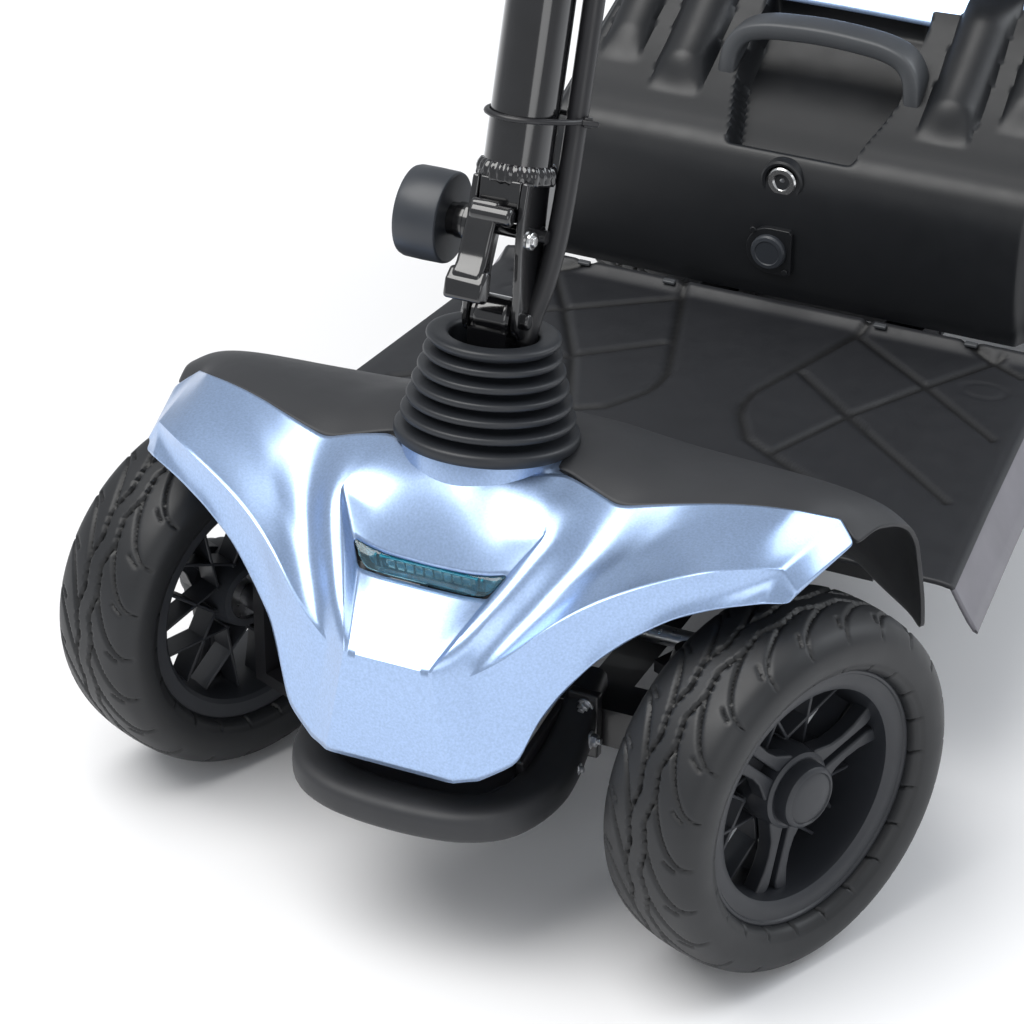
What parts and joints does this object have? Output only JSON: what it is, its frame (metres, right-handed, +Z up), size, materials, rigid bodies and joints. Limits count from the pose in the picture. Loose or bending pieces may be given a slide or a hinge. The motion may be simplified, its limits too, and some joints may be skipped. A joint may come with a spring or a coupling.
{
  "type": "mobility scooter",
  "caption": "Compact electric mobility scooter: turned front wheels under a blue fairing, ribbed boot, folding tiller, footwell deck, lift-off battery, swivel seat with armrests.",
  "frame": {"origin": "centre of the overall footprint, on the ground", "axes": "+Z up, -Y forwards towards the nose, +X to the viewer's right seen from the front"},
  "size_m": [0.5378, 1.118, 0.926],
  "materials": {
    "blue_paint": "metallic satin light blue",
    "black_moulding": "fine-grained moulded black",
    "black_gloss": "gloss black powder coat",
    "black_frame": "satin black powder coat",
    "boot_rubber": "matte",
    "tyre_rubber": "matte",
    "hub_grey": "satin dark grey",
    "zinc_steel": "zinc plated",
    "knob_plastic": "satin",
    "lens_smoke": "smoked blue",
    "led_board": "silver",
    "seat_fabric": "woven black",
    "vinyl": "soft vinyl",
    "display": "gloss",
    "red_plastic": "gloss",
    "grey_plastic": "fine grain"
  },
  "bodies": {
    "root": {"chassis_frame": "black_frame", "rear_frame": "black_frame", "front_bumper": "black_frame", "front_fairing": "blue_paint", "front_cowl": "black_moulding", "steering_boot": "boot_rubber", "light_housing": "black_moulding", "light_board": "led_board", "light_lens": "lens_smoke", "deck": "black_moulding", "rear_cover": "blue_paint", "transaxle": "black_frame", "drive_motor": "zinc_steel", "controller": "grey_plastic"},
    "steering": {"steering_stem": "black_gloss"},
    "tiller": {"fold_bracket": "black_gloss", "tiller_tube": "black_gloss", "wiring_conduit": "knob_plastic", "console_pod": "black_moulding", "console_display": "display", "handlebar": "black_gloss", "handle_grips": "boot_rubber"},
    "latch": {"latch_lever": "black_gloss"},
    "knob": {"clamp_knob": "knob_plastic"},
    "throttle": {"throttle_lever": "grey_plastic"},
    "dial": {"speed_dial": "grey_plastic"},
    "horn": {"horn_button": "red_plastic"},
    "key": {"key_switch": "zinc_steel"},
    "knuckle_left": {"steering_knuckle_left": "black_frame"},
    "knuckle_right": {"steering_knuckle_right": "black_frame"},
    "linkage": {"tie_rod": "zinc_steel"},
    "wheel_front_left": {"tyre_front_left": "tyre_rubber", "hub_front_left": "hub_grey", "hub_cap_front_left": "hub_grey", "bearings_front_left": "zinc_steel"},
    "wheel_front_right": {"tyre_front_right": "tyre_rubber", "hub_front_right": "hub_grey", "hub_cap_front_right": "hub_grey", "bearings_front_right": "zinc_steel"},
    "wheel_rear_left": {"tyre_rear_left": "tyre_rubber", "hub_rear_left": "hub_grey"},
    "wheel_rear_right": {"tyre_rear_right": "tyre_rubber", "hub_rear_right": "hub_grey"},
    "battery": {"battery_case": "black_moulding", "battery_cells": "grey_plastic", "carry_handle": "grey_plastic", "charge_socket": "zinc_steel"},
    "breaker": {"breaker_button": "knob_plastic"},
    "seat_column": {"seat_post": "zinc_steel"},
    "seat": {"seat_base": "black_frame", "seat_cushion": "seat_fabric"},
    "swivel_release": {"swivel_lever": "black_frame"},
    "backrest": {"backrest_frame": "black_frame", "backrest_pad": "seat_fabric"},
    "arm_left": {"armrest_left": "black_frame", "arm_pad_left": "vinyl"},
    "arm_right": {"armrest_right": "black_frame", "arm_pad_right": "vinyl"},
    "freewheel": {"freewheel_lever": "red_plastic"},
    "anti_tip": {"anti_tip_wheel": "hub_grey"}
  },
  "joints": [
    {"name": "tiller_steer", "type": "hinge", "parent": "root", "child": "steering", "pos_m": [0, -0.4166, 0.2894], "axis": [0, 0.1702, 0.9854], "range_deg": [-7.6, 52.4]},
    {"name": "tiller_fold", "type": "hinge", "parent": "steering", "child": "tiller", "pos_m": [0, -0.4028, 0.358], "axis": [-1, 0, 0], "range_deg": [0, 61]},
    {"name": "latch_swing", "type": "hinge", "parent": "tiller", "child": "latch", "pos_m": [0, -0.40885, 0.42556], "axis": [-1, 0, 0], "range_deg": [0, 35]},
    {"name": "knob_turn", "type": "hinge", "parent": "tiller", "child": "knob", "pos_m": [0, -0.38479, 0.40469], "axis": [-1, 0, 0], "range_deg": [0, 270]},
    {"name": "throttle_turn", "type": "hinge", "parent": "tiller", "child": "throttle", "pos_m": [0, -0.25456, 0.79346], "axis": [0, 0.3223, 0.9466], "range_deg": [-18, 18], "stiffness_Nm_per_rad": 1.2},
    {"name": "speed_dial_turn", "type": "hinge", "parent": "tiller", "child": "dial", "pos_m": [0, -0.2496, 0.87628], "axis": [0, 0.3223, 0.9466], "range_deg": [-135, 135]},
    {"name": "horn_press", "type": "slide", "parent": "tiller", "child": "horn", "axis": [0, -0.3223, -0.9466], "range_m": [0, 0.0025], "stiffness_N_per_m": 400},
    {"name": "key_turn", "type": "hinge", "parent": "tiller", "child": "key", "pos_m": [0.038, -0.2496, 0.87628], "axis": [0, 0.3223, 0.9466], "range_deg": [0, 60]},
    {"name": "knuckle_left_turn", "type": "hinge", "parent": "root", "child": "knuckle_left", "pos_m": [-0.127, -0.41, 0.115], "axis": [0, 0, 1], "range_deg": [-7.6, 52.4]},
    {"name": "knuckle_right_turn", "type": "hinge", "parent": "root", "child": "knuckle_right", "pos_m": [0.127, -0.41, 0.115], "axis": [0, 0, 1], "range_deg": [-7.6, 52.4]},
    {"name": "tie_rod_turn", "type": "hinge", "parent": "knuckle_left", "child": "linkage", "pos_m": [-0.10795, -0.36377, 0.143], "axis": [0, 0, 1], "range_deg": [-52.4, 7.6]},
    {"name": "wheel_front_left_spin", "type": "hinge", "parent": "knuckle_left", "child": "wheel_front_left", "pos_m": [-0.19634, -0.38142, 0.115], "axis": [0.9245, -0.3811, 0], "continuous": true},
    {"name": "wheel_front_right_spin", "type": "hinge", "parent": "knuckle_right", "child": "wheel_front_right", "pos_m": [0.19634, -0.43858, 0.115], "axis": [0.9245, -0.3811, 0], "continuous": true},
    {"name": "wheel_rear_left_spin", "type": "hinge", "parent": "root", "child": "wheel_rear_left", "pos_m": [-0.192, 0.33, 0.115], "axis": [1, 0, 0], "continuous": true},
    {"name": "wheel_rear_right_spin", "type": "hinge", "parent": "root", "child": "wheel_rear_right", "pos_m": [0.192, 0.33, 0.115], "axis": [1, 0, 0], "continuous": true},
    {"name": "battery_lift", "type": "slide", "parent": "root", "child": "battery", "axis": [0, 0, -1], "range_m": [-0.09, 0]},
    {"name": "breaker_press", "type": "slide", "parent": "battery", "child": "breaker", "axis": [0, 1, 0], "range_m": [0, 0.003], "stiffness_N_per_m": 400},
    {"name": "seat_height", "type": "slide", "parent": "root", "child": "seat_column", "axis": [0, 0, 1], "range_m": [0, 0.05]},
    {"name": "seat_swivel", "type": "hinge", "parent": "seat_column", "child": "seat", "pos_m": [0, 0.34, 0.5], "axis": [0, 0, 1], "range_deg": [-90, 90]},
    {"name": "swivel_release_press", "type": "hinge", "parent": "seat", "child": "swivel_release", "pos_m": [0.125, 0.31, 0.502], "axis": [0, 1, 0], "range_deg": [0, 14], "stiffness_Nm_per_rad": 2},
    {"name": "backrest_fold", "type": "hinge", "parent": "seat", "child": "backrest", "pos_m": [0, 0.544, 0.624], "axis": [1, 0, 0], "range_deg": [0, 88]},
    {"name": "armrest_left_lift", "type": "hinge", "parent": "seat", "child": "arm_left", "pos_m": [-0.2145, 0.544, 0.7], "axis": [-1, 0, 0], "range_deg": [0, 88]},
    {"name": "armrest_right_lift", "type": "hinge", "parent": "seat", "child": "arm_right", "pos_m": [0.2145, 0.544, 0.7], "axis": [-1, 0, 0], "range_deg": [0, 88]},
    {"name": "freewheel_swing", "type": "hinge", "parent": "root", "child": "freewheel", "pos_m": [0.093, 0.36, 0.13], "axis": [1, 0, 0], "range_deg": [-35, 0]},
    {"name": "anti_tip_spin", "type": "hinge", "parent": "root", "child": "anti_tip", "pos_m": [0, 0.488, 0.031], "axis": [1, 0, 0], "continuous": true}
  ],
  "couplings": [
    {"joint": "knuckle_left_turn", "follows": "tiller_steer", "ratio": 1},
    {"joint": "knuckle_right_turn", "follows": "tiller_steer", "ratio": 1},
    {"joint": "tie_rod_turn", "follows": "tiller_steer", "ratio": -1}
  ]
}
